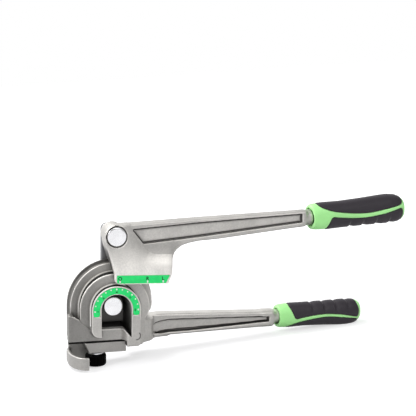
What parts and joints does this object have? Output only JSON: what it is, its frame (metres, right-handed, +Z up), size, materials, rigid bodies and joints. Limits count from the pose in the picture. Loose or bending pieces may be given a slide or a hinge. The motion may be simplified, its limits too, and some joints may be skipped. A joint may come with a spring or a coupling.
{
  "type": "tube bender",
  "caption": "Hand tube bender: stepped bending die on a lower handle, forming shoe on an upper handle, swinging link, angle scale and sliding tube hook with knob.",
  "frame": {"origin": "centre of the front face of the pin on which the link swings", "axes": "+X along the lower handle towards its grip, +Y from the front face to the back, +Z up"},
  "size_m": [0.3279, 0.0537, 0.1506],
  "materials": {
    "cast": "shot-blasted satin casting",
    "plated": "bright zinc plate",
    "steel": "satin steel",
    "spring": "dark spring steel",
    "bush": "sintered bronze",
    "insert": "machined brass",
    "label": "printed green label",
    "green": "satin green plastic",
    "rubber": "soft charcoal rubber",
    "black": "black moulded plastic"
  },
  "bodies": {
    "base": {"die_casting": "cast", "angle_scale": "label", "center_pin": "plated", "center_bush": "bush", "center_washer": "plated", "center_ring": "spring", "lower_grip_core": "green", "lower_palm_pad": "rubber", "lower_finger_pad": "rubber", "latch_stud": "steel"},
    "swing_link": {"link": "steel", "upper_pin": "plated", "upper_washer": "plated", "upper_ring": "spring"},
    "upper_handle": {"shoe_handle": "cast", "shoe_scale": "label", "upper_bush": "bush", "upper_grip_core": "green", "upper_palm_pad": "rubber", "upper_finger_pad": "rubber"},
    "tube_hook": {"latch_hook": "cast"},
    "hook_knob": {"latch_knob": "black", "latch_insert": "insert", "latch_washer": "plated"}
  },
  "joints": [
    {"name": "link_swing", "type": "hinge", "parent": "base", "child": "swing_link", "pos_m": [0, 0.018, 0], "axis": [0, 1, 0], "range_deg": [-90, 90]},
    {"name": "handle_swing", "type": "hinge", "parent": "swing_link", "child": "upper_handle", "pos_m": [0.0006, 0, 0.0667], "axis": [0, -1, 0], "range_deg": [0, 170]},
    {"name": "hook_slide", "type": "slide", "parent": "base", "child": "tube_hook", "axis": [-1, 0, 0], "range_m": [0, 0.012]},
    {"name": "knob_turn", "type": "hinge", "parent": "base", "child": "hook_knob", "pos_m": [-0.0166, 0, -0.048], "axis": [0, 0, 1], "continuous": true}
  ]
}
